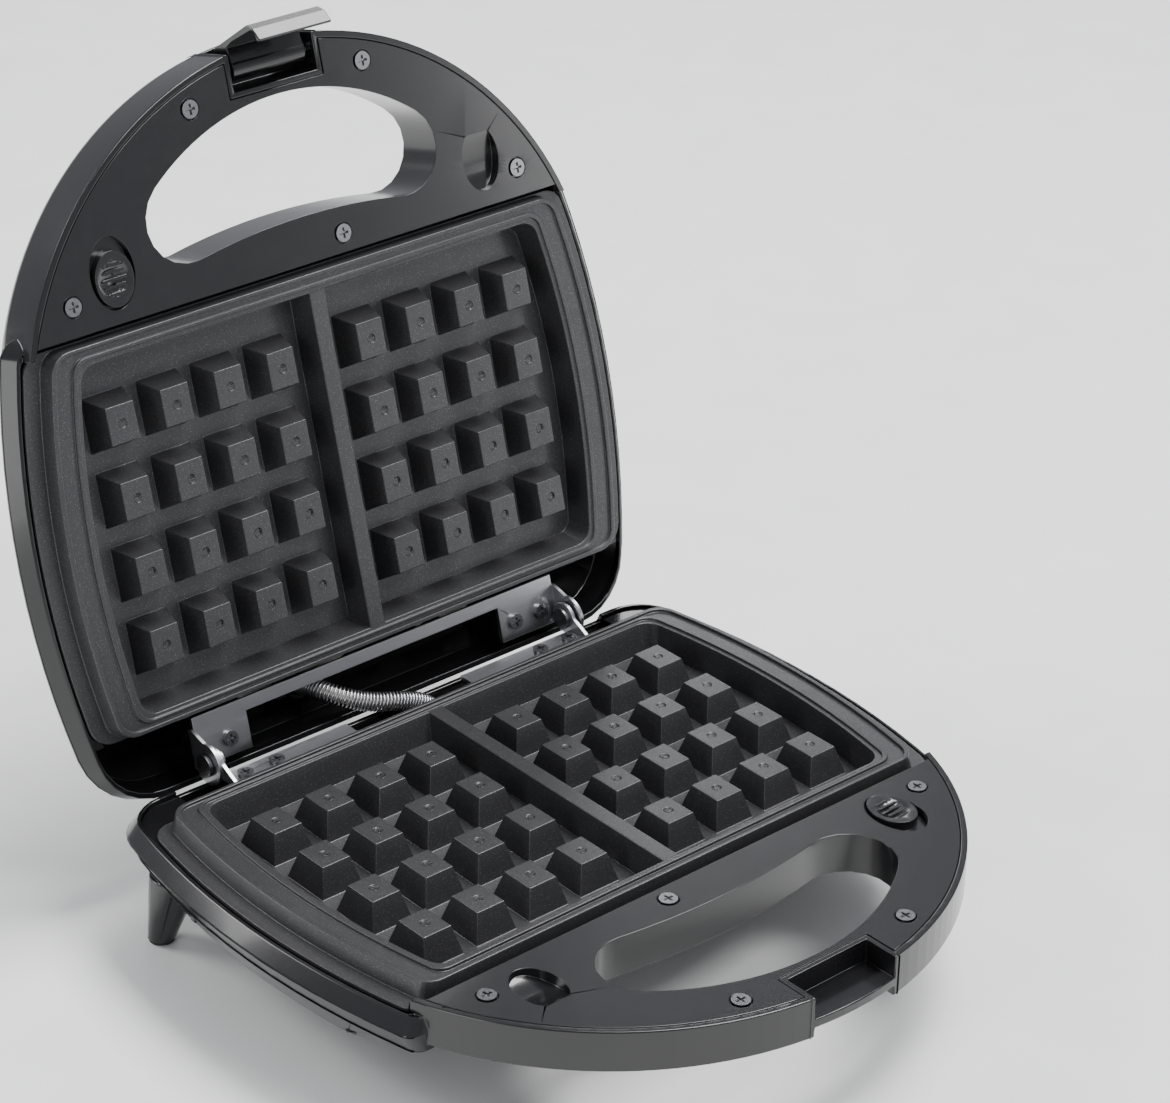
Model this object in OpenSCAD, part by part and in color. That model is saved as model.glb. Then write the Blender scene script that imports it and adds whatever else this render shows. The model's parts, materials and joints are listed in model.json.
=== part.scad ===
// Two-slice waffle maker, lid open. Millimetres, +Z up, handles towards -Y, hinge towards +Y.
// The halves are drawn in one "meeting frame": the hinge axis crosses Y = 0, and Z = 0 is the plane
// where the closed halves meet. Base parts lie below it, and lid parts above it.

/* [Overall] */
// Greatest width across the bulging sides
body_w = 271; // [268:0.5:276]
// Hinge axis to the front of the handle
reach = 243; // [240:0.5:245]
// Height of the meeting plane above the table
part_h = 55.7; // [54:0.1:60]
// Angle that the lid stands open
open_angle = 105; // [95:1:105]
// Distance from the hinge axis to the middle of the whole object, lid open
origin_back = 76.64; // [60:0.01:100]

/* [Shells] */
// Wall of the moulded shells
wall = 2.5; // [2:0.1:3]
// Depth of the shells' side lip below the meeting plane
lip_drop = 7.5; // [6:0.5:9]
// Depth of the base body below the meeting plane
body_depth = 31; // [29:0.5:34]
// Rise of the lid's flat top above the meeting plane
lid_rise = 38.5; // [36:0.5:42]
// Depth of the base handle below the meeting plane
handle_depth = 18; // [17:0.5:20]
// Height of the lid handle above the meeting plane
handle_rise = 27; // [24:0.5:30]
// Radius of the handles' outline
handle_r = 127; // [125:0.5:129]

/* [Plates] */
// Columns of studs in each pocket
stud_cols = 4; // [2:1:4]
// Rows of studs
stud_rows = 4; // [2:1:4]
// Distance between stud columns
stud_pitch_x = 23; // [22:0.1:23]
// Distance between stud rows
stud_pitch_y = 27.3; // [26:0.1:27.5]
// Depth of a waffle pocket in one plate
pocket_depth = 12.5; // [10:0.5:13]

/* [Latch] */
// Width of the latch
latch_w = 31.5; // [30:0.5:35]
// Angle of the latch at rest, outwards from its catching position
latch_rest = 13.5; // [10:0.5:20]

/* [Hidden] */

gloss_black = [0.05, 0.05, 0.055];
satin_grey = [0.19, 0.19, 0.2];
steel = [0.75, 0.75, 0.77];
eps = 0.01;

// Hinge axis below the meeting plane
axis_drop = 2.7;
// Middle of the sides' bulge, and the radius of the bulge
bulge_y = -82;
bulge_r = 325;
side_w = body_w / 2;
handle_y = handle_r - reach;

// Straight back edge of the handle decks
deck_back = -161.5;
deck_drop = 2.5;
deck_t = 2.2;

// Finger opening: a front arc, a flatter back arc, and round ends
grip_front_r = 93.7;
grip_front_y = -129.8;
grip_back_r = 264;
grip_back_y = 85.3;
grip_end_r = 16.2;
grip_wall = 1.8;

// Notch for the latch in both handles
notch_w = 36.4;
notch_back = -228;
notch_lip = 11;
notch_floor = 14.4;

// Recess that clears the other half's slider: a scoop, deepest towards the plate
recess_x = 83;
recess_rx = 8.3;
recess_ry = 12;
recess_r = 24;
recess_depth = 4;

// Release sliders and their windows
slider_x = 81;
window_y = -179.5;
window_rx = 9;
window_ry = 13;
slider_travel = 4;
slider_t = 1.6;
slider_drop = 5.2;
tongue_z = -11.9;
tongue_w = 11.6;

// Indicator lamps, on the lid's outer side between the handle and the body
lens_x = 26;
lens_y = -168;

// Latch pivot
pin_y = -235.5;
pin_z = 9;
pin_r = 2;

// Deck screws: one pair at the corners, one pair at the front, one at the back edge
deck_screw_xy = [[99, -172.2], [-99, -172.2], [37.8, -226.8], [-37.8, -226.8], [-16.6, -168.5]];

// Hinge hardware
ear_x = 84;
ear_t = 1.5;
rivet_r = 2.5;
rivet_fit = 0.06;
base_bar_z = -5.7;
lid_bar_z = 4.2;
bar_t = 1.5;
base_bar_screw_xy = [[76, -10], [62, -10], [-62, -10], [-76, -10]];
lid_bar_screw_xy = [[76.6, -3.5], [64, -3.5], [-70, -3.5]];

// Heating parts
heater_r = 3.2;
heater_z = -19.2;
heater_x = 54;
heater_front = -122;
heater_bend = 16;
pan_z = -25.6;
pan_t = 0.6;
clip_y = [-55, -100];
standoff_x = 84;
standoff_y = [-48, -132];

// Cord inlet in the rear wall
inlet_x = 38;
inlet_z = -22;

// Legs, feet and bottom cover
leg_x = 117.5;
leg_y = -14;
leg_tip_r = 5;
front_leg_x = 78;
front_leg_y = -108;
pad_t = 2;
pad_proud = 1;
cover_t = 2;
bottom_boss = [[118.5, -45], [116.5, -128]];

// Route of the conduit at rest, from inside the lid to inside the base, about the hinge axis
conduit_r = 3.8;
conduit_bore = 2.7;
conduit_route = [
    [-27, 26, 0.3], [-27, 21.6, 1.5], [-26.4, 17.3, 2.6], [-23, 10.5, 1.6],
    [-16, 4.5, -1.4], [-9, 0, -3], [-1, -3.4, -4.2], [6, -5.6, -6],
    [11.4, -7, -10], [13.4, -7.4, -15], [13.5, -7.5, -19], [13.5, -7.5, -23]
];
conduit_end = [13.5, -7.5];
conduit_lid = [-27, -7, 20.5];

// ---- frames ----

// Puts a part drawn in the meeting frame into the world: base
module in_base() {
    translate([0, origin_back, part_h]) children();
}

// Puts a part drawn in the meeting frame into the world: lid, swung open about the hinge axis
module in_lid() {
    translate([0, origin_back, part_h - axis_drop])
        rotate([-open_angle, 0, 0])
            translate([0, 0, axis_drop]) children();
}

// Turns a base part over into the matching lid part
module turned_over() {
    rotate([0, 180, 0]) children();
}

// ---- outlines ----

// Points of an arc about (x, y)
function arc(x, y, r, a0, a1, n) = [
    for (i = [0:n]) let (a = a0 + (a1 - a0) * i / n) [x + r * cos(a), y + r * sin(a)]
];

// Right half of a bulging outline: front corner, side arc and rear corner
function barrel_half(hw, front, back, rf, rb) = let (
    cx = hw - bulge_r,
    fy = front + rf,
    by = back - rb,
    fx = cx + sqrt(pow(bulge_r - rf, 2) - pow(fy - bulge_y, 2)),
    bx = cx + sqrt(pow(bulge_r - rb, 2) - pow(by - bulge_y, 2)),
    fa = atan2(fy - bulge_y, fx - cx),
    ba = atan2(by - bulge_y, bx - cx)
) concat(
    arc(fx, fy, rf, -90, fa, 5),
    arc(cx, bulge_y, bulge_r, fa, ba, 12),
    arc(bx, by, rb, ba, 90, 6)
);

function mirrored(points) = [for (i = [len(points) - 1:-1:0]) [-points[i][0], points[i][1]]];

// Outline with bulging sides, straight front and back and round corners
module barrel(hw, front, back, rf = 6, rb = 8) {
    half = barrel_half(hw, front, back, rf, rb);
    polygon(concat(half, mirrored(half)));
}

// A thin slice of that outline, to blend between heights
module slice(z, hw, front, back, rf = 6, rb = 8) {
    translate([0, 0, z]) linear_extrude(eps) barrel(hw, front, back, rf, rb);
}

// Outline of a handle, from its straight edge to its round front
module handle_outline(inset = 0, back = deck_back) {
    intersection() {
        translate([0, handle_y]) circle(handle_r - inset, $fn = 180);
        translate([-handle_r, -reach - 1]) square([2 * handle_r, reach + 1 + back]);
    }
}

// Points of the finger opening, grown by g
function grip_points(g) = let (
    rf = grip_front_r + g,
    rb = grip_back_r - g,
    re = grip_end_r + g,
    // The end circle touches the front arc from inside and the back arc from outside
    df = rf - re,
    db = rb + re,
    gap = grip_back_y - grip_front_y,
    ey = (pow(df, 2) - pow(db, 2) + pow(grip_back_y, 2) - pow(grip_front_y, 2)) / (2 * gap),
    ex = sqrt(pow(df, 2) - pow(ey - grip_front_y, 2)),
    front_a = atan2(ey - grip_front_y, ex),
    back_a = atan2(grip_back_y - ey, -ex),
    right = concat(
        arc(0, grip_front_y, rf, -90, front_a, 14),
        arc(ex, ey, re, front_a, back_a, 8),
        arc(0, grip_back_y, rb, back_a - 180, -90, 8)
    )
) concat(right, mirrored(right));

module grip_outline(g = 0) {
    polygon(grip_points(g));
}

module ellipse(rx, ry) {
    polygon([for (i = [0:47]) [rx * cos(i * 7.5), ry * sin(i * 7.5)]]);
}

// ---- small parts ----

// Round bar between two points
module rod(p, q, r) {
    d = q - p;
    l = norm(d);
    translate(p) rotate([0, acos(d[2] / l), atan2(d[1], d[0])]) cylinder(h = l, r = r, $fn = 20);
}

// Lead that bends smoothly through a list of points
module lead(points, r, steps = 9) {
    sweep([for (i = [0:steps]) curve_point(points, i * (len(points) - 1) / steps)], r, 8);
}

// Pan-head cross-recess screw, head up, seated at z = 0
module screw(head_r = 3.3, head_h = 1.6, shank_r = 1.5, shank_l = 9) {
    difference() {
        union() {
            cylinder(h = head_h, r = head_r, $fn = 32);
            translate([0, 0, -shank_l]) cylinder(h = shank_l + eps, r = shank_r, $fn = 24);
        }
        for (a = [0, 90]) rotate(a) translate([-head_r * 0.6, -0.45, head_h - 0.9])
            cube([head_r * 1.2, 0.9, 1]);
    }
}

// Post with a blind screw hole in its top
module boss(z0, z1, r = 3.6, hole = 1.55, hole_l = 10) {
    difference() {
        translate([0, 0, z0]) cylinder(h = z1 - z0, r = r, $fn = 32);
        translate([0, 0, z1 - hole_l]) cylinder(h = hole_l + 1, r = hole, $fn = 24);
    }
}

// Tube swept along points: rings of n sides, square to the route
function unit(v) = v / norm(v);
function along(pts, i) = unit(pts[min(i + 1, len(pts) - 1)] - pts[max(i - 1, 0)]);
function curve_point(p, t) = let (
    n = len(p) - 1,
    i = min(floor(t), n - 1),
    u = t - i,
    a = p[max(i - 1, 0)],
    b = p[i],
    c = p[i + 1],
    d = p[min(i + 2, n)]
) 0.5 * (2 * b + (c - a) * u + (2 * a - 5 * b + 4 * c - d) * u * u + (3 * b - a - 3 * c + d) * u * u * u);

module sweep(pts, r, n = 10) {
    last = len(pts) - 1;
    rings = [for (i = [0:last]) let (
        t = along(pts, i),
        s = unit(cross(t, [0, 0.3, 1])),
        w = cross(s, t)
    ) for (k = [0:n - 1]) pts[i] + r * (cos(k * 360 / n) * s + sin(k * 360 / n) * w)];
    walls = [for (i = [0:last - 1], k = [0:n - 1]) let (
        a = i * n + k,
        b = i * n + (k + 1) % n
    ) each [[a, b, b + n], [a, b + n, a + n]]];
    polyhedron(
        points = rings,
        faces = concat([[for (k = [n - 1:-1:0]) k]], walls, [[for (k = [0:n - 1]) last * n + k]]),
        convexity = 4
    );
}

// ---- shared halves, drawn as base parts ----

// Trim plate of the handle, with the collar of the finger opening down to depth
module handle_deck(depth) {
    top = -deck_drop;
    under = top - deck_t;
    difference() {
        union() {
            translate([0, 0, under]) linear_extrude(deck_t) handle_outline(wall + 0.2);
            translate([0, 0, -depth]) linear_extrude(depth + top) grip_outline(grip_wall);
            translate([-recess_x, window_y, top - recess_depth - 1.4])
                linear_extrude(recess_depth + 0.4) ellipse(recess_rx + 1.4, recess_ry + 0.8);
        }
        translate([0, 0, -depth - 1]) linear_extrude(depth + 1) grip_outline();
        translate([slider_x, window_y, under - 1]) linear_extrude(deck_t + 2) ellipse(window_rx, window_ry);
        translate([-recess_x, window_y, 0]) scoop(top);
        translate([-notch_w / 2 - wall, -reach - 2, under - 1])
            cube([notch_w + 2 * wall, reach + notch_back + 4.2, 5]);
        for (p = deck_screw_xy) translate([p[0], p[1], 0]) {
            translate([0, 0, top - 1.2]) cylinder(h = 3, r = 3.9, $fn = 32);
            translate([0, 0, under - 1]) cylinder(h = 6, r = 1.7, $fn = 24);
        }
    }
}

// Space of the scoop below z = top
module scoop(top) {
    intersection() {
        translate([0, 0, top - recess_depth - 1]) linear_extrude(recess_depth + 3)
            ellipse(recess_rx, recess_ry);
        translate([-12, 3.6, top - recess_depth + recess_r]) rotate([0, 90, 0])
            cylinder(h = 24, r = recess_r, $fn = 96);
    }
}

// Screws of one handle deck
module deck_screws() {
    for (p = deck_screw_xy) translate([p[0], p[1], -deck_drop - 1.2]) screw();
}

// One sloped, hollow stud with the mark of an ejector pin in its top
module stud() {
    top = [11.6, 13.6];
    foot = [17.4, 20];
    drop = 1.8;
    rise = pocket_depth - drop;
    difference() {
        translate([0, 0, -pocket_depth - eps])
            linear_extrude(rise + eps, scale = [top[0] / foot[0], top[1] / foot[1]], slices = 1)
                square(foot, center = true);
        translate([0, 0, -drop - 0.3]) cylinder(h = 1, r = 1.6, $fn = 20);
    }
}

// Hollow behind a stud
module stud_core() {
    translate([0, 0, -pocket_depth - 3])
        linear_extrude(pocket_depth - 1.2, scale = [0.6, 0.62], slices = 1)
            square([14.6, 17.2], center = true);
}

module each_stud() {
    first_x = 20.1;
    first_y = -127.9;
    for (side = [-1, 1], i = [0:stud_cols - 1], j = [0:stud_rows - 1])
        translate([side * (first_x + i * stud_pitch_x), first_y + j * stud_pitch_y, 0]) children();
}

// Sloped space of one pocket, right-hand side, grown by g
module pocket(g = 0) {
    hull() {
        translate([0, 0, -0.6]) linear_extrude(2) intersection() {
            barrel(108.9 + g, -151.5 - g, -23.6 + g, 7, 7);
            translate([3.2 - g, -200]) square([200, 200]);
        }
        translate([0, 0, -pocket_depth - g]) linear_extrude(eps) intersection() {
            barrel(107.5 + g, -148.5 - g, -27 + g, 5, 5);
            translate([4.7 - g, -200]) square([200, 200]);
        }
    }
}

// Cast cooking plate: flange, beaded rim with a shallow channel, two pockets of studs, catch lugs
module waffle_plate() {
    difference() {
        union() {
            plate_casting();
            each_stud() stud();
            plate_lug(1);
            plate_lug(-1);
        }
        each_stud() stud_core();
    }
}

module plate_casting() {
    skin = 1.9;
    rim_top = -0.4;
    difference() {
        union() {
            translate([0, 0, -lip_drop - 1]) linear_extrude(1.6) barrel(128.6, -159.6, -17, 8, 9);
            hull() {
                slice(-lip_drop, 122.2, -159, -17.6, 8, 8);
                slice(rim_top - eps, 121, -158.3, -18.4, 8, 8);
            }
            for (side = [0, 1]) mirror([side, 0, 0]) pocket(skin);
        }
        // Everything above the rim
        translate([0, 0, rim_top]) linear_extrude(4) barrel(125, -165, -10, 8, 8);
        // Channel between the outer and the inner bead
        translate([0, 0, rim_top - 1.1]) linear_extrude(2) difference() {
            barrel(119.2, -156.9, -20, 7, 7);
            barrel(112.4, -154.6, -21.4, 6, 6);
        }
        translate([0, 0, rim_top - 0.9]) linear_extrude(2) barrel(110.6, -153.2, -22.4, 6, 6);
        for (side = [0, 1]) mirror([side, 0, 0]) pocket();
        // Hollow underside, between the rim's skirt and the pockets
        translate([0, 0, -lip_drop - 3]) linear_extrude(lip_drop + 3 + rim_top - 1.1 - skin) difference() {
            barrel(120, -157, -19.6, 7, 7);
            barrel(110.6, -153.4, -21.9, 7, 7);
        }
    }
}

// Lug under the handle side of the plate that the slider's tongue enters
module plate_lug(side) {
    slot_h = 2.2;
    translate([side * slider_x, -158.4, 0]) difference() {
        translate([-8, 0, tongue_z - 2.4]) cube([16, 3, -lip_drop - 0.6 - tongue_z + 2.4]);
        translate([-tongue_w / 2 - 0.4, -1, tongue_z - 0.3]) cube([tongue_w + 0.8, 5, slot_h]);
    }
}

// Sliding catch: ribbed button, base plate, and a tongue stepped down to the plate's lug
module release_slider() {
    button_y = window_y + slider_travel / 2;
    under = -slider_drop - slider_t;
    difference() {
        union() {
            translate([slider_x - 11.5, button_y - 16, under]) cube([23, 30, slider_t]);
            translate([slider_x, button_y, -slider_drop - eps])
                linear_extrude(slider_drop - 1.6)
                    ellipse(window_rx - 1.2, window_ry - slider_travel / 2 - 1);
            translate([slider_x - tongue_w / 2, -165.2, tongue_z])
                cube([tongue_w, 1.7, -slider_drop - tongue_z]);
            translate([slider_x - tongue_w / 2, -165.2, tongue_z]) cube([tongue_w, 9.2, slider_t]);
            translate([slider_x - 6, button_y - 17, under - 4.4]) cube([12, 2, 5]);
        }
        // Finger dish
        translate([slider_x, button_y, 12.6]) sphere(15.6, $fn = 64);
    }
    for (i = [-2:2]) translate([slider_x - 5 + abs(i) * 0.7, button_y + i * 2.6 - 0.5, -slider_drop + 0.4])
        cube([10 - abs(i) * 1.4, 1, 3.1]);
}

// Compression spring of a slider, as its outer sleeve
module slider_spring() {
    spring_y = window_y + slider_travel / 2 - 17;
    translate([slider_x, spring_y, -slider_drop - 3.6]) rotate([90, 0, 0]) difference() {
        cylinder(h = 9, r = 2.2, $fn = 24);
        translate([0, 0, -1]) cylinder(h = 11, r = 1.4, $fn = 24);
    }
}

// Sheathed heating element: a U with its cold ends out through the pan's rear wall
module heater() {
    rear = -22;
    front_y = heater_front;
    for (side = [-1, 1]) {
        rod([side * heater_x, rear, heater_z], [side * heater_x, front_y + heater_bend, heater_z],
            heater_r);
        rod([side * heater_x, rear + 7, heater_z], [side * heater_x, rear, heater_z], 1.2);
        translate([side * (heater_x - heater_bend), front_y + heater_bend, heater_z])
            rotate(side > 0 ? -90 : 180) rotate_extrude(angle = 90, $fn = 64)
                translate([heater_bend, 0]) circle(heater_r, $fn = 20);
    }
    rod([-heater_x + heater_bend, front_y, heater_z], [heater_x - heater_bend, front_y, heater_z],
        heater_r);
}

// Bright sheet pan under the heater
module reflector_pan() {
    top = -14.9;
    difference() {
        translate([0, 0, pan_z]) linear_extrude(top - pan_z) barrel(108.8, -147, -25.4, 12, 10);
        translate([0, 0, pan_z + pan_t]) linear_extrude(top - pan_z)
            barrel(108.8 - pan_t, -147 + pan_t, -25.4 - pan_t, 12, 10);
        for (side = [-1, 1]) translate([side * heater_x, 0, heater_z])
            rotate([90, 0, 0]) cylinder(h = 40, r = heater_r + 0.4, $fn = 24);
        for (x = [-1, 1], y = standoff_y) translate([x * standoff_x, y, pan_z - 1])
            cylinder(h = 3, r = 1.7, $fn = 24);
        // Vent slots
        for (i = [-3:3]) translate([i * 10 - 2, -100, pan_z - 1]) cube([4, 40, 3]);
    }
}

// Saddle clips that hold the heater to the pan
module heater_clips() {
    for (side = [-1, 1], y = clip_y) translate([side * heater_x, y, 0]) {
        difference() {
            union() {
                translate([0, 5, heater_z]) rotate([90, 0, 0])
                    cylinder(h = 10, r = heater_r + 1.1, $fn = 32);
                translate([-heater_r - 1.1, -5, pan_z + pan_t])
                    cube([2 * heater_r + 2.2, 10, heater_z - pan_z - pan_t]);
                translate([-9, -5, pan_z + pan_t]) cube([18, 10, 1]);
            }
            translate([0, 6, heater_z]) rotate([90, 0, 0]) cylinder(h = 12, r = heater_r + 0.06, $fn = 32);
            translate([-heater_r - 0.06, -6, pan_z]) cube([2 * heater_r + 0.12, 12, heater_z - pan_z]);
        }
    }
}

module pan_screws() {
    for (x = [-1, 1], y = standoff_y) translate([x * standoff_x, y, pan_z + pan_t]) screw(3, 1.5, 1.5, 3.8);
}

// ---- base ----

// Body of the base: side lip, and a skirt that is shallower at the front; inset all round by t
module base_body(t = 0) {
    over = t > 0 ? 1 : 0;
    hull() {
        slice(-lip_drop + over, side_w - 4.5 - t * 0.8, -163 + t, -t * 0.8, 5, 18 - t);
        slice(-lip_drop - 5, side_w - t, -165 + t, 2 - t, 5, 19 - t);
        slice(-20.5 - over, side_w - 4.2 - t, -164 + t, 1.4 - t, 5, 19 - t);
    }
    hull() {
        slice(-20.5 + eps, side_w - 4.2 - t, -164 + t, 1.4 - t, 5, 19 - t);
        slice(-body_depth - t * 0.1, side_w - 10 - t, -140 + t, 0.6 - t, 18 - t, 19 - t);
    }
}

// Space of the notch above its lip, and below it
module notch_space(top) {
    w = notch_w;
    l = reach + notch_back + 2;
    translate([-w / 2, -reach - 2, -notch_lip]) cube([w, l, top + notch_lip]);
    translate([-w / 2, -reach - 2, -handle_depth - 1]) cube([w, l, handle_depth + 1 - notch_floor]);
}

module base_shell() {
    color(gloss_black) in_base() {
        difference() {
            union() {
                base_body();
                translate([0, 0, -handle_depth]) linear_extrude(handle_depth - deck_drop)
                    handle_outline(0, -158);
                for (side = [-1, 1]) rear_leg(side);
            }
            base_body(wall);
            translate([0, 0, -handle_depth + wall]) linear_extrude(handle_depth) handle_outline(wall, -150);
            translate([0, 0, -handle_depth - 1]) linear_extrude(wall + 2) grip_outline(grip_wall + 0.2);
            // Low middle of the rear wall, under the hinge
            translate([-100, -8, -10.7]) cube([200, 20, 12]);
            notch_space(9);
            translate([inlet_x, 10, inlet_z]) rotate([90, 0, 0]) cylinder(h = 20, r = 5.6, $fn = 32);
        }
        difference() {
            notch_walls(handle_depth - deck_drop, -handle_depth);
            notch_space(9);
        }
        front_ledge();
        // Ledge that carries the rear edge of the plate's flange
        translate([0, 0, -lip_drop - 3.2]) linear_extrude(2) difference() {
            barrel(side_w - 5.5, -161, -2.5, 4, 15);
            translate([-140, -200]) square([280, 183]);
            translate([-100, -30]) square([200, 40]);
        }
        for (side = [-1, 1]) side_ledge(side);
        for (p = deck_screw_xy) translate([p[0], p[1], 0]) boss(-handle_depth + 1, -deck_drop - deck_t);
        for (x = [-1, 1], p = bottom_boss) {
            translate([x * p[0], p[1], 0]) mirror([0, 0, 1]) boss(14, body_depth - cover_t, 4.2);
            // Web to the side wall
            translate([x * (p[0] + 4.4) - 2.4, p[1] - 1, -body_depth + cover_t]) cube([4.8, 2, 8]);
        }
        for (p = base_bar_screw_xy) {
            translate([p[0], p[1], 0]) boss(-29, base_bar_z - bar_t, 4);
            translate([p[0] - 1, p[1] + 2, -29]) cube([2, 7.5, 15]);
        }
        // Rib that the slider's spring rests on
        translate([slider_x - 5, window_y + slider_travel / 2 - 28.4, -handle_depth + 1]) cube([10, 2, 10]);
    }
}

// Walls on three sides of the latch's notch
module notch_walls(h, z) {
    translate([-notch_w / 2 - 2, -reach + 1.5, z]) cube([notch_w + 4, reach + notch_back + 0.5, h]);
}

// Ledge along the handle side, open where the catches pass
module front_ledge() {
    gap = 19;
    x1 = slider_x - gap / 2;
    x2 = slider_x + gap / 2;
    for (x = [[-113, -x2], [-x1, x1], [x2, 113]])
        translate([x[0], -161.2, -lip_drop - 3.2]) cube([x[1] - x[0], 3.4, 2]);
    // Struts from the ledge down to the tub's floor
    for (x = [-100, -40, 40, 100])
        translate([x - 1, -165, -handle_depth + 1]) cube([2, 5.5, handle_depth - lip_drop - 3]);
}

// Ledge along one side, inside the lip
module side_ledge(side) {
    translate([0, 0, -lip_drop - 3.2]) linear_extrude(2) intersection() {
        difference() {
            barrel(side_w - 4.6, -162, -1, 4, 15);
            barrel(side_w - 10.5, -175, 12, 4, 15);
        }
        translate([side > 0 ? 0 : -140, -158]) square([140, 142]);
    }
}

// Rear leg, running down from the body's corner
module rear_leg(side) {
    hull() {
        translate([side * 113, -19, -body_depth + 4]) cylinder(h = eps, r = 10, $fn = 32);
        translate([side * leg_x, leg_y, -part_h + pad_proud]) cylinder(h = eps, r = leg_tip_r, $fn = 32);
    }
}

module base_bottom_cover() {
    color([0.08, 0.08, 0.085]) in_base() {
        difference() {
            union() {
                translate([0, 0, -body_depth]) linear_extrude(cover_t) difference() {
                    barrel(side_w - 13, -137, -2, 15, 16);
                    for (side = [-1, 1]) translate([side * 113, -19]) circle(11, $fn = 40);
                }
                for (side = [-1, 1]) translate([side * front_leg_x, front_leg_y, -part_h + pad_proud])
                    cylinder(h = part_h - body_depth - pad_proud + eps, r = 6.5, $fn = 40);
                for (x = [-1, 1], y = standoff_y) translate([x * standoff_x, y, 0])
                    boss(-body_depth + 1, pan_z, 3.6, 1.55, 4.6);
            }
            for (x = [-1, 1], p = bottom_boss) translate([x * p[0], p[1], -body_depth - 1])
                cylinder(h = 6, r = 1.7, $fn = 24);
            // Vents
            for (i = [-5:5]) translate([i * 11 - 2, -80, -body_depth - 1]) cube([4, 34, 5]);
            for (side = [-1, 1]) translate([side * front_leg_x, front_leg_y, -part_h])
                cylinder(h = pad_proud + pad_t - 1, r = 4.8, $fn = 32);
        }
    }
}

module rubber_feet() {
    color([0.03, 0.03, 0.03]) in_base() {
        for (side = [-1, 1]) {
            translate([side * leg_x, leg_y, -part_h])
                cylinder(h = pad_proud, r = leg_tip_r - 0.4, $fn = 32);
            translate([side * front_leg_x, front_leg_y, -part_h]) cylinder(h = pad_t, r = 4.7, $fn = 32);
        }
    }
}

module base_handle_deck() {
    color(gloss_black) in_base() handle_deck(handle_depth);
}

module base_waffle_plate() {
    color(satin_grey) in_base() waffle_plate();
}

module base_heater() {
    color([0.45, 0.43, 0.4]) in_base() heater();
}

module base_reflector_pan() {
    color(steel) in_base() reflector_pan();
}

module base_heater_clips() {
    color(steel) in_base() heater_clips();
}

module base_pan_screws() {
    color(steel) in_base() pan_screws();
}

module base_deck_screws() {
    color(steel) in_base() deck_screws();
}

module base_bottom_screws() {
    color(steel) in_base()
        for (x = [-1, 1], p = bottom_boss) translate([x * p[0], p[1], -body_depth]) mirror([0, 0, 1])
            screw(3.2, 1.5, 1.5, 8);
}

module base_release_slider() {
    color([0.07, 0.07, 0.075]) in_base() release_slider();
}

module base_slider_spring() {
    color(steel) in_base() slider_spring();
}

// Steel bar behind the base plate, lower in the middle, with an ear at each end
module base_hinge_bar() {
    step = 7;
    low_w = 27;
    z = base_bar_z - bar_t;
    color(steel) in_base() {
        difference() {
            union() {
                for (side = [-1, 1]) {
                    translate([side > 0 ? low_w : -ear_x + 0.8, -15.4, z])
                        cube([ear_x - 0.8 - low_w, 10.6, bar_t]);
                    translate([side * low_w - bar_t / 2, -15.4, z - step]) cube([bar_t, 4, step + bar_t]);
                    base_ear(side);
                }
                translate([-low_w, -15.4, z - step]) cube([2 * low_w, 4, bar_t]);
            }
            for (p = base_bar_screw_xy) translate([p[0], p[1], z - 1]) cylinder(h = 4, r = 1.6, $fn = 24);
        }
    }
}

module base_ear(side) {
    translate([side > 0 ? ear_x - 2.3 : -ear_x + 0.8, 0, 0]) rotate([90, 0, 90]) linear_extrude(ear_t)
        difference() {
        union() {
            translate([0, -axis_drop]) circle(6, $fn = 48);
            polygon([[-15.4, base_bar_z - bar_t], [-4.8, base_bar_z - bar_t], [4, -7.2], [-2, 3], [-6,
                -1], [-15.4, base_bar_z]]);
        }
        translate([0, -axis_drop]) circle(rivet_r + 0.01, $fn = 48);
    }
}

module base_hinge_screws() {
    color(steel) in_base() for (p = base_bar_screw_xy) translate([p[0], p[1], base_bar_z])
        screw(3, 1.4, 1.5, 8);
}

// Two shouldered rivets, the pins that the lid turns on
module hinge_rivets() {
    color([0.6, 0.6, 0.62]) in_base() for (side = [0, 1]) mirror([side, 0, 0])
        translate([0, 0, -axis_drop]) rotate([0, 90, 0]) {
        translate([0, 0, ear_x - 3.9]) cylinder(h = 1.5, r = 4.2, $fn = 40);
        translate([0, 0, ear_x - 3]) cylinder(h = 5, r = rivet_r, $fn = 48);
        translate([0, 0, ear_x + 1.8]) cylinder(h = 1.4, r = 4.4, $fn = 40);
    }
}

module base_thermostat() {
    color([0.85, 0.84, 0.8]) in_base() {
        translate([30, -17, -26]) cylinder(h = 7, r = 6, $fn = 40);
        translate([22, -18, -19 - eps]) cube([16, 2, 1]);
        for (s = [-1, 1]) translate([30 + s * 4 - 1, -12, -24]) cube([2, 5, 0.8]);
    }
}

module thermal_fuse() {
    color([0.8, 0.78, 0.7]) in_base() {
        rod([-44, -18, -25.4], [-32, -18, -25.4], 2);
        rod([-50, -18, -25.4], [-26, -18, -25.4], 0.6);
    }
}

module terminal_block() {
    color([0.9, 0.88, 0.82]) in_base() difference() {
        translate([38, -20, -28.9]) cube([15, 10, 7]);
        for (i = [0:2]) translate([41 + i * 4.5, -15, -26]) cylinder(h = 6, r = 1.5, $fn = 20);
    }
}

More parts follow.
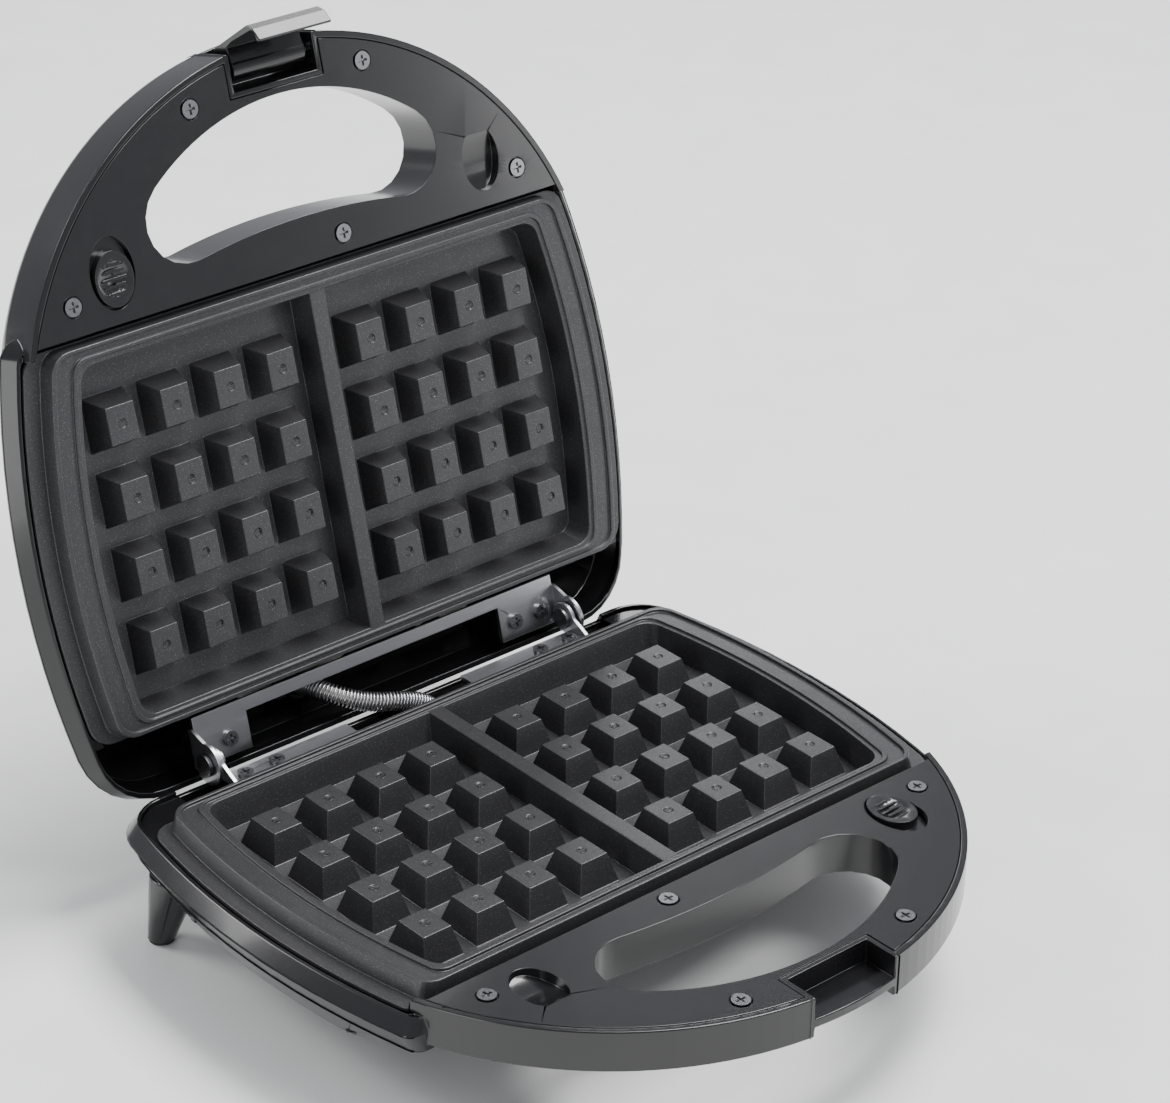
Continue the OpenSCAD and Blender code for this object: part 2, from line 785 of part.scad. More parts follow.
// Leads from the element's ends through the thermal fuse, the terminal block and the conduit
module base_wiring() {
    r = 1.1;
    end_y = -13.6;
    color([0.8, 0.78, 0.72]) in_base() {
        lead([[-heater_x, end_y, heater_z], [-heater_x + 1, -9, -22], [-heater_x + 1, -10, -24.6],
            [-51, -18, -25.4]], r);
        lead([[heater_x, end_y, heater_z], [heater_x + 1, -9.4, -21], [heater_x, -8, -24.4], [50, -8.6,
            -25.4]], r);
        lead([[-25, -18, -25.4], [-12, -16, -26.6], [2, -12, -27], [9.5, -9.6, -26.4]], r);
        lead([[37, -13, -26.4], [33, -9, -27.2], [24, -7, -27.4], [18, -7.2, -26.6]], r);
    }
}

// Bush in the rear wall where the mains lead leaves
module cord_inlet_bush() {
    color([0.03, 0.03, 0.03]) in_base() translate([inlet_x, 0, inlet_z]) rotate([-90, 0, 0]) difference() {
        union() {
            translate([0, 0, -3.4]) cylinder(h = 1.4, r = 6.6, $fn = 40);
            translate([0, 0, -2.2]) cylinder(h = 3.6, r = 5.4, $fn = 40);
            translate([0, 0, 2]) cylinder(h = 1.6, r = 6.6, $fn = 40);
            translate([0, 0, 1]) cylinder(h = 6, r = 4.9, $fn = 40);
        }
        translate([0, 0, -5]) cylinder(h = 16, r = 3.3, $fn = 32);
    }
}

// ---- conduit ----

conduit_steps = 27;
conduit_path = [for (i = [0:conduit_steps]) curve_point(conduit_route,
    i * (len(conduit_route) - 1) / conduit_steps)];

// Places a part drawn about the hinge axis
module at_axis() {
    translate([0, origin_back, part_h - axis_drop]) children();
}

module conduit_spring() {
    color([0.7, 0.7, 0.72]) at_axis() difference() {
        sweep(conduit_path, conduit_r);
        sweep(
            concat([2 * conduit_path[0] - conduit_path[1]], conduit_path,
                [2 * conduit_path[conduit_steps] - conduit_path[conduit_steps - 1]]),
            conduit_bore
        );
    }
}

module conduit_leads() {
    color([0.8, 0.78, 0.72]) at_axis() sweep(conduit_path, conduit_bore - 0.3, 8);
}

// Collar with a two-winged foot that holds an end of the conduit, around the z axis
module conduit_clamp() {
    difference() {
        union() {
            cylinder(h = 4, r = conduit_r + 1.8, $fn = 40);
            translate([-9, -4, 0]) cube([18, 8, 1.4]);
        }
        translate([0, 0, -1]) cylinder(h = 7, r = conduit_r + 0.5, $fn = 40);
    }
}

module base_conduit_clamp() {
    color([0.1, 0.1, 0.1]) in_base() translate([conduit_end[0], conduit_end[1], -24.6]) conduit_clamp();
}

module lid_conduit_clamp() {
    color([0.1, 0.1, 0.1]) in_lid() translate([conduit_lid[0], conduit_lid[1], conduit_lid[2] + 3])
        mirror([0, 0, 1]) conduit_clamp();
}

// ---- lid ----

// Body of the lid with its crowned top, inset all round by t
module lid_body(t = 0) {
    over = t > 0 ? 1 : 0;
    hull() {
        slice(lip_drop - over, side_w - 4.9 - t * 0.8, -163 + t * 0.6, 9 - t, 8, 26 - t);
        slice(lip_drop + 5, side_w - 0.7 - t, -165 + t, 9.4 - t, 8, 29 - t);
        slice(lip_drop + 12.5, side_w - 5.4 - t, -164 + t, 7.6 - t, 10, 28 - t);
    }
    hull() {
        slice(lip_drop + 12.5 - eps, side_w - 5.4 - t, -164 + t, 7.6 - t, 10, 28 - t);
        slice(lip_drop + 20 - t / 2, side_w - 10.5 - t, -160 + t, 2.5 - t, 14, 26 - t);
        slice(lip_drop + 26 - t, side_w - 18 - t, -152 + t, -6 - t, 18, 24 - t);
        slice(lip_drop + 29.6 - t, side_w - 26 - t, -144 + t, -15 - t, 20, 24 - t);
        slice(lid_rise - t, side_w - 41 - t, -131 + t, -29 - t, 24, 24 - t);
    }
}

// Handle of the lid with its rounded outer edge, inset by t
module lid_handle_body(t = 0) {
    r = handle_r - t;
    top = handle_rise - t;
    low = deck_drop - (t > 0 ? 3 : 0);
    intersection() {
        translate([0, handle_y, 0]) rotate_extrude($fn = 180) polygon([
            [0, low], [r, low], [r, top - 7], [r - 0.7, top - 4.2], [r - 2, top - 2.2], [r - 4.2,
                top - 0.8],
            [r - 7.4, top], [0, top]
        ]);
        translate([-handle_r - 1, -reach - 1, -1]) cube([2 * handle_r + 2, reach + 1 - 158 + 3 * t, 40]);
    }
}

module lid_shell() {
    roof = handle_rise - wall;
    pocket_top = 18.6;
    color(gloss_black) in_lid() {
        difference() {
            union() {
                lid_body();
                lid_handle_body();
            }
            lid_body(wall);
            lid_handle_body(wall);
            // Finger opening, wider through the roof
            translate([0, 0, 1]) linear_extrude(roof) grip_outline(grip_wall + 0.2);
            translate([0, 0, roof]) linear_extrude(wall + 1) grip_outline(3.6);
            latch_pocket(pocket_top);
            for (x = [-lens_x, lens_x]) translate([x, lens_y, 10]) cylinder(h = 20, r = 2.6, $fn = 32);
        }
        // Ring around the finger opening, down from the roof
        translate([0, 0, roof - 6]) linear_extrude(6.5) difference() {
            grip_outline(grip_wall + 2.4);
            grip_outline(grip_wall + 0.2);
        }
        difference() {
            notch_walls(pocket_top - deck_drop + 2, deck_drop);
            latch_pocket(pocket_top);
            translate([-25, pin_y, pin_z]) rotate([0, 90, 0]) cylinder(h = 50, r = pin_r + 0.02, $fn = 40);
        }
        turned_over() {
            for (side = [-1, 1]) side_ledge(side);
            front_ledge();
            for (x = [-100, -40, 40, 100]) translate([x - 1, -165, -roof - 0.5]) cube([2, 2.5, 12]);
            for (p = deck_screw_xy) translate([p[0], p[1], 0]) boss(-roof - 0.5, -deck_drop - deck_t);
            for (x = [-1, 1], y = standoff_y) translate([x * standoff_x, y, 0])
                boss(-lid_rise + 1.6, pan_z, 3.6, 1.55, 7);
            for (p = lid_bar_screw_xy) {
                translate([-p[0], p[1], 0]) boss(-28, -lid_bar_z - bar_t, 3.8);
                translate([-p[0] - 1, p[1] + 2, -28]) cube([2, 8, 14]);
            }
            translate([slider_x - 5, window_y + slider_travel / 2 - 28.4, -roof - 0.5])
                cube([10, 2, roof - 6.5]);
        }
    }
}

// Space of the latch in the lid's handle
module latch_pocket(top) {
    translate([-notch_w / 2, -reach - 2, 0]) cube([notch_w, reach + notch_back + 2, top]);
}

module lid_handle_deck() {
    color(gloss_black) in_lid() turned_over() handle_deck(handle_rise - wall - 2);
}

module lid_waffle_plate() {
    color(satin_grey) in_lid() turned_over() waffle_plate();
}

module lid_heater() {
    color([0.45, 0.43, 0.4]) in_lid() turned_over() heater();
}

module lid_reflector_pan() {
    color(steel) in_lid() turned_over() reflector_pan();
}

module lid_heater_clips() {
    color(steel) in_lid() turned_over() heater_clips();
}

module lid_pan_screws() {
    color(steel) in_lid() turned_over() pan_screws();
}

module lid_deck_screws() {
    color(steel) in_lid() turned_over() deck_screws();
}

module lid_release_slider() {
    color([0.07, 0.07, 0.075]) in_lid() turned_over() release_slider();
}

module lid_slider_spring() {
    color(steel) in_lid() turned_over() slider_spring();
}

// Steel bar along the hinge side of the lid plate, with screw tabs and round ears
module lid_hinge_bar() {
    color(steel) in_lid() {
        difference() {
            union() {
                translate([-ear_x, -16, lid_bar_z]) cube([2 * ear_x, 5, bar_t]);
                translate([57, -16, lid_bar_z]) cube([ear_x - 57, 19, bar_t]);
                translate([-ear_x, -16, lid_bar_z]) cube([23, 19, bar_t]);
                for (side = [-1, 1]) lid_ear(side);
            }
            for (p = lid_bar_screw_xy) translate([p[0], p[1], 0]) cylinder(h = 9, r = 1.6, $fn = 24);
        }
    }
}

module lid_ear(side) {
    translate([side > 0 ? ear_x : -ear_x - ear_t, 0, 0]) rotate([90, 0, 90]) linear_extrude(ear_t)
        difference() {
        union() {
            translate([0, -axis_drop]) circle(8, $fn = 64);
            polygon([[-8, -axis_drop], [-12, lid_bar_z], [-12, lid_bar_z + bar_t], [3,
                lid_bar_z + bar_t], [8, -axis_drop]]);
        }
        translate([0, -axis_drop]) circle(rivet_r + rivet_fit, $fn = 48);
    }
}

module lid_hinge_screws() {
    color(steel) in_lid() for (p = lid_bar_screw_xy) translate([p[0], p[1], lid_bar_z])
        mirror([0, 0, 1]) screw(3, 1.4, 1.5, 8);
}

module lid_thermostat() {
    color([0.85, 0.84, 0.8]) in_lid() {
        translate([30, -17, 19]) cylinder(h = 7, r = 6, $fn = 40);
        translate([22, -18, 18]) cube([16, 2, 1.2]);
    }
}

// Lens of an indicator lamp, shouldered under the handle's roof
module lens(x) {
    under = handle_rise - wall;
    translate([x, lens_y, 0]) {
        translate([0, 0, under - 0.6]) cylinder(h = wall + 1.6, r = 2.5, $fn = 32);
        translate([0, 0, under - 1.4]) cylinder(h = 1.4, r = 3.4, $fn = 32);
    }
}

module power_lens() {
    color([0.8, 0.08, 0.05]) in_lid() lens(-lens_x);
}

module ready_lens() {
    color([0.1, 0.6, 0.15]) in_lid() lens(lens_x);
}

// Board with the two lamps, under the lenses
module lamp_board() {
    board_z = handle_rise - 9;
    color([0.2, 0.42, 0.2]) in_lid() {
        difference() {
            translate([-31, -172.4, board_z]) cube([62, 8.8, 1.4]);
            translate([16.6, -168.5, board_z - 3]) cylinder(h = 8, r = 4, $fn = 32);
        }
        for (x = [-lens_x, lens_x]) translate([x, lens_y, board_z + 1]) cylinder(h = 3.4, r = 2, $fn = 24);
    }
}

// Leads from the element's ends to the lid's thermostat and into the conduit
module lid_wiring() {
    r = 1.1;
    end_y = -13.6;
    color([0.8, 0.78, 0.72]) in_lid() {
        lead([[-heater_x, end_y, -heater_z], [-heater_x + 3, -10, 22], [-42, -8, 25], [-31, -7.4,
            26.4]], r);
        lead([[heater_x, end_y, -heater_z], [heater_x - 1, -10, 22], [46, -9, 24], [38, -15, 24.4]], r);
        lead([[22, -17, 24], [10, -12, 27], [-10, -7, 27.8], [-23, -6.6, 27.4]], r);
    }
}

module latch_pin() {
    color(steel) in_lid() translate([-notch_w / 2 - 1.9, pin_y, pin_z]) rotate([0, 90, 0])
        cylinder(h = notch_w + 3.8, r = pin_r, $fn = 40);
}

// Snap hook: barrel on the pin, arm, and a nose that catches under the base's notch lip
module latch() {
    color(gloss_black) in_lid() translate([0, pin_y, pin_z]) rotate([-latch_rest, 0, 0])
        translate([-latch_w / 2, 0, 0])
        rotate([90, 0, 90]) linear_extrude(latch_w) difference() {
            union() {
                circle(4.6, $fn = 48);
                polygon([
                    [-2, 4.1], [-8.4, 3.6], [-11.6, -20.4], [-9.6, -23.6], [-5.4, -25.8], [-4.6, -25.2],
                    [-5.2, -23.9], [-8.2, -23.8], [-9.2, -22.4], [-8, -8.5], [-6.8, -4.4], [0, -4.4]
                ]);
            }
            circle(pin_r + 0.05, $fn = 48);
        }
}

base_shell();
base_bottom_cover();
base_handle_deck();
base_waffle_plate();
base_heater();
base_reflector_pan();
base_heater_clips();
base_pan_screws();
base_hinge_bar();
hinge_rivets();
base_hinge_screws();
base_deck_screws();
base_bottom_screws();
rubber_feet();
base_thermostat();
thermal_fuse();
terminal_block();
base_wiring();
cord_inlet_bush();
base_conduit_clamp();
conduit_spring();
conduit_leads();
base_slider_spring();
base_release_slider();
lid_shell();
lid_handle_deck();
lid_waffle_plate();
lid_heater();
lid_reflector_pan();
lid_heater_clips();
lid_pan_screws();
lid_hinge_bar();
lid_hinge_screws();
lid_deck_screws();
lid_thermostat();
power_lens();
ready_lens();
lamp_board();
lid_wiring();
lid_conduit_clamp();
lid_slider_spring();
lid_release_slider();
latch_pin();
latch();
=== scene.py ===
"""Waffle maker with its lid open: the looks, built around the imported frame.

Everything is in metres, in the frame's own axes: +Z up, -Y towards the base's handle, X along the hinge.
"""

import json
import math

import bmesh
import bpy
from mathutils import Matrix, Vector


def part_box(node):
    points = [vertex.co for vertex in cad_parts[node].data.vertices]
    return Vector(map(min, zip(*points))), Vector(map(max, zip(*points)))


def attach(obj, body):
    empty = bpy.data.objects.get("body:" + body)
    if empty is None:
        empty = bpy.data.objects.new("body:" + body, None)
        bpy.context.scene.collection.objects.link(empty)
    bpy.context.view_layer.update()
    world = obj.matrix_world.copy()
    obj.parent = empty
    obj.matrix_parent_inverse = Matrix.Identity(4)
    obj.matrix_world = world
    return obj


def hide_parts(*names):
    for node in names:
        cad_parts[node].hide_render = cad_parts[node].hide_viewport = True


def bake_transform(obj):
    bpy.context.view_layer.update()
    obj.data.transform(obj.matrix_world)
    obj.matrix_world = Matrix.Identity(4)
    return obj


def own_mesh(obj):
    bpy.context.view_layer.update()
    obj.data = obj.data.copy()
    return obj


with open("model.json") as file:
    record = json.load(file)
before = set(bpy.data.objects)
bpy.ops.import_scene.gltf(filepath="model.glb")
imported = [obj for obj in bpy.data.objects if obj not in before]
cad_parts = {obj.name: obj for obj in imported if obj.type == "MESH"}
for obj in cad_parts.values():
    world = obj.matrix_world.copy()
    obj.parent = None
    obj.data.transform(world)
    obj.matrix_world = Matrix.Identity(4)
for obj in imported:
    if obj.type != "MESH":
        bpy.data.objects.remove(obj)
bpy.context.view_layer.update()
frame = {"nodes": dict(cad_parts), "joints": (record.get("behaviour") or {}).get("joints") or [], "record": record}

# ---- driving sizes ----

MM = 0.001
HINGE = next(j for j in frame["joints"] if j["name"] == "lid_hinge")
AXIS = Vector(HINGE["pos_m"])

# Camera: where it stands from the hinge axis, and which way it looks
EYE_FROM_AXIS = Vector((-0.7217, -0.9198, 0.6907))
HEADING = math.radians(41.51)
DIP = math.radians(28.45)
ROLL = math.radians(0.9963828)
LENS = 112.85
SENSOR = 36.0

# The conduit's route in millimetres from the hinge axis, the same points as in part.scad, from lid to base
CONDUIT_ROUTE = [
    (-27, 26, 0.3), (-27, 21.6, 1.5), (-26.4, 17.3, 2.6), (-23, 10.5, 1.6),
    (-16, 4.5, -1.4), (-9, 0, -3), (-1, -3.4, -4.2), (6, -5.6, -6),
    (11.4, -7, -10), (13.4, -7.4, -15), (13.5, -7.5, -19), (13.5, -7.5, -23),
]
CONDUIT_R = 3.8 * MM
CONDUIT_WIRE = 0.5 * MM
# Distance between the conduit's turns as a multiple of the wire's radius, and parts its length is summed in
TURN_SPACING = 1.9
ROUTE_PARTS = 60
SPRING_WIRE = 0.3 * MM
SPRING_TURNS = 9
# Share of a route used to find its direction
TANGENT_STEP = 0.002

# Mesh work: vertices closer than this are one, and faces with more corners than this are cut into triangles
MERGE_GAP = 2e-6
MOST_CORNERS = 40
BEVEL_SEGMENTS = 3
FLAT_WEIGHT = 80


# ---- camera, floor and lights ----

def add_camera():
    forward = Vector((math.sin(HEADING) * math.cos(DIP), math.cos(HEADING) * math.cos(DIP), -math.sin(DIP)))
    level = Vector((math.cos(HEADING), -math.sin(HEADING), 0))
    right = math.cos(ROLL) * level + math.sin(ROLL) * level.cross(forward)
    up = right.cross(forward)
    data = bpy.data.cameras.new("camera")
    data.lens = LENS
    data.sensor_width = SENSOR
    camera = bpy.data.objects.new("camera", data)
    turn = Matrix((right, up, -forward)).transposed().to_4x4()
    camera.matrix_world = Matrix.Translation(AXIS + EYE_FROM_AXIS) @ turn
    bpy.context.scene.collection.objects.link(camera)
    bpy.context.scene.camera = camera


def add_light(name, place, target, size, power, colour=(1, 1, 1)):
    data = bpy.data.lights.new(name, "AREA")
    data.shape = "RECTANGLE"
    data.size, data.size_y = size
    data.energy = power
    data.color = colour
    light = bpy.data.objects.new(name, data)
    light.location = place
    light.rotation_euler = (Vector(target) - Vector(place)).to_track_quat("-Z", "Y").to_euler()
    bpy.context.scene.collection.objects.link(light)


def add_studio():
    world = bpy.data.worlds.new("studio")
    bpy.context.scene.world = world
    world.use_nodes = True
    world.node_tree.nodes["Background"].inputs["Color"].default_value = (0.9, 0.93, 1.0, 1)
    world.node_tree.nodes["Background"].inputs["Strength"].default_value = 0.5
    middle = (0, 0, 0.1)
    add_light("right_high", (0.75, 0.0, 1.9), (0, 0.1, 0.15), (1.0, 1.0), 52)
    add_light("front_high", (0.35, -1.1, 1.6), (0, 0.1, 0.15), (0.7, 0.5), 16)
    add_light("back_right", (1.15, 1.45, 0.95), middle, (0.7, 0.25), 4)
    add_light("back_left", (-0.95, 1.35, 1.15), (0, 0, 0.2), (0.8, 0.8), 16)
    add_light("front_right", (1.5, -1.5, 0.3), middle, (0.35, 0.5), 2)
    add_light("left_side", (-1.6, -0.3, 0.5), middle, (0.5, 1.0), 6)
    bpy.ops.mesh.primitive_plane_add(size=8, location=(0, 0, -0.0004))
    floor = bpy.context.object
    floor.name = "floor"
    floor.data.materials.append(surface("floor", (0.9, 0.9, 0.89), rough=0.7, grain=60, depth=0.02))


# ---- materials ----

def surface(name, colour, rough=0.4, spread=0.06, grain=900.0, depth=0.08, bump_mm=0.02,
            metal=0.0, coat=0.0, stretch=(1, 1, 1), speckle=0.0, patch=30.0):
    """A node material: patchy colour, uneven roughness, a fine grain in the bump, optional bright flecks."""
    material = bpy.data.materials.new(name)
    material.use_nodes = True
    nodes, links = material.node_tree.nodes, material.node_tree.links
    shader = nodes["Principled BSDF"]
    shader.inputs["Metallic"].default_value = metal
    shader.inputs["Coat Weight"].default_value = coat
    shader.inputs["Coat Roughness"].default_value = 0.08
    place = nodes.new("ShaderNodeTexCoord")
    scale = nodes.new("ShaderNodeMapping")
    scale.inputs["Scale"].default_value = stretch
    links.new(place.outputs["Object"], scale.inputs["Vector"])

    def noise(size, detail=3.0):
        node = nodes.new("ShaderNodeTexNoise")
        node.inputs["Scale"].default_value = size
        node.inputs["Detail"].default_value = detail
        links.new(scale.outputs["Vector"], node.inputs["Vector"])
        return node.outputs["Fac"]

    def mix(kind, factor, first, second):
        node = nodes.new("ShaderNodeMix")
        node.data_type = "RGBA"
        node.blend_type = kind
        for socket, value in ((node.inputs[0], factor), (node.inputs[6], first), (node.inputs[7], second)):
            if isinstance(value, bpy.types.NodeSocket):
                links.new(value, socket)
            else:
                socket.default_value = value
        return node.outputs[2]

    dark = [c * (1 - spread) for c in colour] + [1]
    light = [min(1, c * (1 + spread) + spread * 0.004) for c in colour] + [1]
    tint = mix("MIX", noise(patch), dark, light)
    tint = mix("MIX", noise(grain, 2.0), tint, mix("MULTIPLY", 0.5, tint, light))
    if speckle:
        cells = nodes.new("ShaderNodeTexVoronoi")
        cells.inputs["Scale"].default_value = grain * 0.9
        links.new(scale.outputs["Vector"], cells.inputs["Vector"])
        fleck = nodes.new("ShaderNodeMapRange")
        fleck.inputs["From Min"].default_value = 0.22
        fleck.inputs["From Max"].default_value = 0.06
        links.new(cells.outputs["Distance"], fleck.inputs["Value"])
        strength = nodes.new("ShaderNodeMath")
        strength.operation = "MULTIPLY"
        strength.inputs[1].default_value = speckle
        links.new(fleck.outputs["Result"], strength.inputs[0])
        tint = mix("MIX", strength.outputs[0], tint, [min(1, c * 2.6 + 0.1) for c in colour] + [1])
    links.new(tint, shader.inputs["Base Color"])
    uneven = nodes.new("ShaderNodeMapRange")
    uneven.inputs["To Min"].default_value = rough * 0.82
    uneven.inputs["To Max"].default_value = min(1.0, rough * 1.18)
    links.new(noise(patch * 6), uneven.inputs["Value"])
    links.new(uneven.outputs["Result"], shader.inputs["Roughness"])
    bump = nodes.new("ShaderNodeBump")
    bump.inputs["Strength"].default_value = depth
    bump.inputs["Distance"].default_value = bump_mm * MM
    links.new(noise(grain, 4.0), bump.inputs["Height"])
    links.new(bump.outputs["Normal"], shader.inputs["Normal"])
    return material


def woven(name, colour):
    """Braided sleeving: a fine diagonal wave added to the bump."""
    material = surface(name, colour, rough=0.85, spread=0.12, grain=2500, depth=0.5, bump_mm=0.1)
    nodes, links = material.node_tree.nodes, material.node_tree.links
    wave = nodes.new("ShaderNodeTexWave")
    wave.inputs["Scale"].default_value = 600
    wave.bands_direction = "DIAGONAL"
    bump = nodes.new("ShaderNodeBump")
    bump.inputs["Strength"].default_value = 0.6
    bump.inputs["Distance"].default_value = 0.15 * MM
    place = next(n for n in nodes if n.type == "TEX_COORD")
    links.new(place.outputs["Object"], wave.inputs["Vector"])
    links.new(wave.outputs["Fac"], bump.inputs["Height"])
    links.new(nodes["Bump"].outputs["Normal"], bump.inputs["Normal"])
    links.new(bump.outputs["Normal"], nodes["Principled BSDF"].inputs["Normal"])
    return material


MATERIALS = {
    "shell": surface("black_gloss_shell", (0.009, 0.009, 0.01), rough=0.2, grain=700, depth=0.05,
                     coat=0.25),
    "deck": surface("black_gloss_trim", (0.012, 0.012, 0.013), rough=0.2, grain=500, depth=0.06, coat=0.4),
    "cover": surface("black_textured", (0.02, 0.02, 0.021), rough=0.42, grain=1800, depth=0.3,
                     bump_mm=0.05),
    "slider": surface("black_slider", (0.014, 0.014, 0.015), rough=0.2, grain=900, depth=0.08, coat=0.5),
    "plate": surface("nonstick_coating", (0.08, 0.08, 0.083), rough=0.34, spread=0.18, grain=1500,
                     depth=0.5, bump_mm=0.03, metal=0.55, speckle=0.8),
    "heater": surface("heater_sheath", (0.16, 0.14, 0.12), rough=0.5, spread=0.25, grain=900, metal=0.8),
    "steel": surface("steel_sheet", (0.5, 0.5, 0.52), rough=0.3, spread=0.25, grain=900, depth=0.5,
                     metal=1.0, stretch=(0.06, 1, 1), speckle=0.15),
    "hardware": surface("zinc_plate", (0.34, 0.34, 0.35), rough=0.26, spread=0.1, grain=1400, metal=1.0),
    "rubber": surface("rubber", (0.018, 0.018, 0.018), rough=0.8, grain=2000, depth=0.3, bump_mm=0.05),
    "ceramic": surface("fired_ceramic", (0.78, 0.76, 0.7), rough=0.6, grain=1200, depth=0.3),
    "sleeving": woven("glass_sleeving", (0.7, 0.67, 0.6)),
    "moulding": surface("black_moulding", (0.02, 0.02, 0.02), rough=0.5, grain=1500, depth=0.2),
    "lens_red": surface("red_lens", (0.6, 0.03, 0.02), rough=0.12, grain=300, depth=0.02, coat=0.6),
    "lens_green": surface("green_lens", (0.03, 0.42, 0.06), rough=0.12, grain=300, depth=0.02, coat=0.6),
    "board": surface("board_lacquer", (0.04, 0.16, 0.05), rough=0.4, grain=900),
}
NODE_SLOT = {part["node"]: part["material_slot"] for part in frame["record"]["subparts"]}
NODE_BODY = {n: body for body, members in frame["record"]["behaviour"]["bodies"].items() for n in members}


# ---- pieces ----

def dress(piece, material):
    piece.data.materials.clear()
    piece.data.materials.append(MATERIALS[material])


def refined(node, edge_mm, material=None, corner=28.0, flat_deg=0, rides=True):
    """A copy of a CAD node with merged vertices and softened edges, which stands for that node."""
    source = frame["nodes"][node]
    mesh = bmesh.new()
    mesh.from_mesh(source.data)
    bmesh.ops.remove_doubles(mesh, verts=mesh.verts, dist=MERGE_GAP)
    if flat_deg:
        limit = math.radians(flat_deg)
        bmesh.ops.dissolve_limit(mesh, angle_limit=limit, verts=mesh.verts, edges=mesh.edges)
    many_sided = [face for face in mesh.faces if len(face.verts) > MOST_CORNERS]
    bmesh.ops.triangulate(mesh, faces=many_sided, ngon_method="BEAUTY")
    for face in mesh.faces:
        face.smooth = True
    data = bpy.data.meshes.new(node + "_finished")
    mesh.to_mesh(data)
    mesh.free()
    data.set_sharp_from_angle(angle=math.radians(corner))
    piece = bpy.data.objects.new(node + "_finished", data)
    bpy.context.scene.collection.objects.link(piece)
    if edge_mm:
        soft = piece.modifiers.new("soft_edges", "BEVEL")
        soft.width = edge_mm * MM
        soft.segments = BEVEL_SEGMENTS
        soft.limit_method = "ANGLE"
        soft.angle_limit = math.radians(corner)
        soft.use_clamp_overlap = False
        soft.miter_outer = "MITER_ARC"
        flat = piece.modifiers.new("flat_faces", "WEIGHTED_NORMAL")
        flat.keep_sharp = True
        flat.weight = FLAT_WEIGHT
    dress(piece, material or NODE_SLOT[node])
    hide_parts(node)
    if rides:
        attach(piece, NODE_BODY[node])
    return piece


def route_point(points, t):
    """A point of the smooth curve through points, as the CAD route is drawn."""
    last = len(points) - 1
    i = min(int(t), last - 1)
    u = t - i
    a, b = Vector(points[max(i - 1, 0)]), Vector(points[i])
    c, d = Vector(points[i + 1]), Vector(points[min(i + 2, last)])
    square = 2 * a - 5 * b + 4 * c - d
    cube = 3 * b - a - 3 * c + d
    return 0.5 * (2 * b + (c - a) * u + square * u * u + cube * u ** 3)


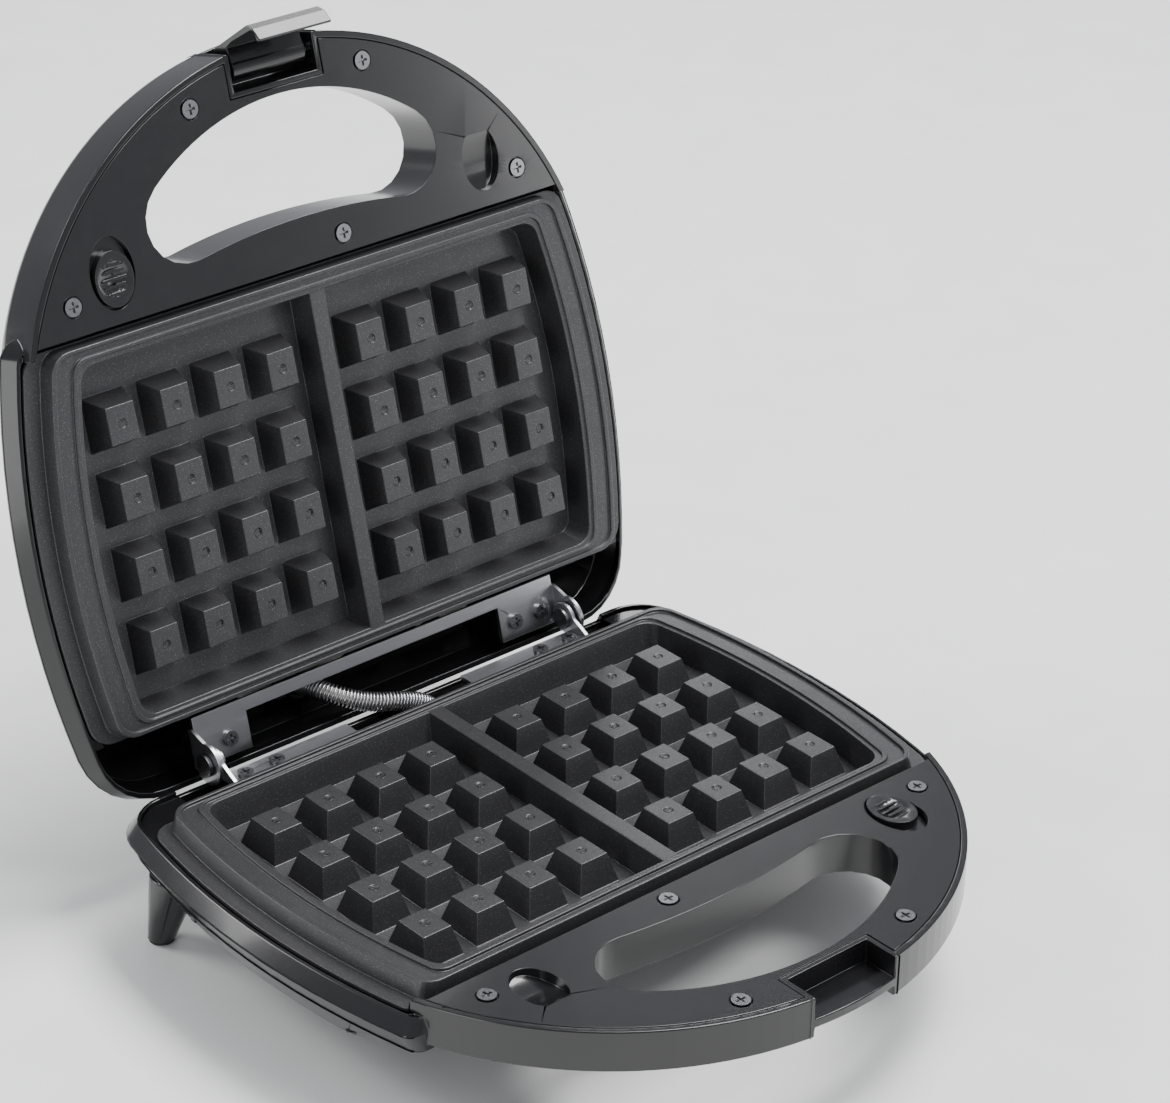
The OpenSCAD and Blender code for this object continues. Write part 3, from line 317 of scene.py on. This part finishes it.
def helix(name, centre, radius, wire, turns, steps=14):
    """A round wire wound about a centre line: centre(t) gives points for t from 0 to 1."""
    count = int(turns * steps)
    turned = []
    for i in range(count + 1):
        t = i / count
        ahead, behind = centre(min(t + TANGENT_STEP, 1.0)), centre(max(t - TANGENT_STEP, 0.0))
        along = (ahead - behind).normalized()
        across = along.cross(Vector((0, 0.3, 1))).normalized()
        other = across.cross(along)
        turn = i * 2 * math.pi / steps
        turned.append(centre(t) + radius * (math.cos(turn) * across + math.sin(turn) * other))
    curve = bpy.data.curves.new(name, "CURVE")
    curve.dimensions = "3D"
    curve.bevel_depth = wire
    curve.bevel_resolution = 1
    curve.use_fill_caps = True
    spline = curve.splines.new("POLY")
    spline.points.add(count)
    for point, place in zip(spline.points, turned):
        point.co = (*place, 1)
    drawn = bpy.data.objects.new(name, curve)
    bpy.context.scene.collection.objects.link(drawn)
    data = bpy.data.meshes.new_from_object(drawn.evaluated_get(bpy.context.evaluated_depsgraph_get()))
    bpy.data.objects.remove(drawn)
    for face in data.polygons:
        face.use_smooth = True
    piece = bpy.data.objects.new(name, data)
    bpy.context.scene.collection.objects.link(piece)
    return piece


def add_conduit():
    def centre(t):
        return AXIS + MM * route_point(CONDUIT_ROUTE, t * (len(CONDUIT_ROUTE) - 1))

    spans = [(i / ROUTE_PARTS, (i + 1) / ROUTE_PARTS) for i in range(ROUTE_PARTS)]
    length = sum((centre(start) - centre(end)).length for start, end in spans)
    turns = length / (TURN_SPACING * CONDUIT_WIRE)
    coil = helix("conduit_coil", centre, CONDUIT_R - CONDUIT_WIRE, CONDUIT_WIRE, turns)
    dress(coil, "steel")
    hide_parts("conduit_spring")
    # The route starts in the lid and ends in the base; the coil and the leads ride with neither half
    leads = refined("conduit_leads", 0, rides=False)
    for piece in (coil, leads):
        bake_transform(piece)


def add_slider_spring(half):
    """The slider's return spring: a coil along the slider's pull, sized from the box of the CAD spring."""
    node = half + "_slider_spring"
    joint = next(j for j in frame["joints"] if j["name"] == half + "_slider_slide")
    low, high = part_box(node)
    size = high - low
    pull = Vector(joint["axis"]).normalized()
    # The box of the tilted sleeve holds its length and, at the ends, a little of its width
    width = size.x
    length = (max(size.y, size.z) - width * min(abs(pull.y), abs(pull.z))) / max(abs(pull.y), abs(pull.z))
    middle = (low + high) / 2

    def centre(t):
        return middle + pull * (t - 0.5) * (length - 2 * SPRING_WIRE)

    coil = helix(node + "_coil", centre, width / 2 - SPRING_WIRE, SPRING_WIRE, SPRING_TURNS, steps=18)
    dress(coil, "steel")
    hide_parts(node)
    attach(coil, half)
    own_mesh(coil)


def add_pieces():
    for half in ("base", "lid"):
        refined(half + "_shell", 0.45)
        refined(half + "_handle_deck", 0.2, flat_deg=0.8)
        refined(half + "_waffle_plate", 0.3, corner=20)
        refined(half + "_release_slider", 0.15, "slider")
        refined(half + "_hinge_bar", 0.2)
        add_slider_spring(half)
    refined("base_bottom_cover", 0.3)
    refined("latch", 0.35, "shell")
    add_conduit()
    for node, part in frame["nodes"].items():
        part.data.materials.clear()
        part.data.materials.append(MATERIALS[NODE_SLOT[node]])


add_camera()
add_studio()
add_pieces()
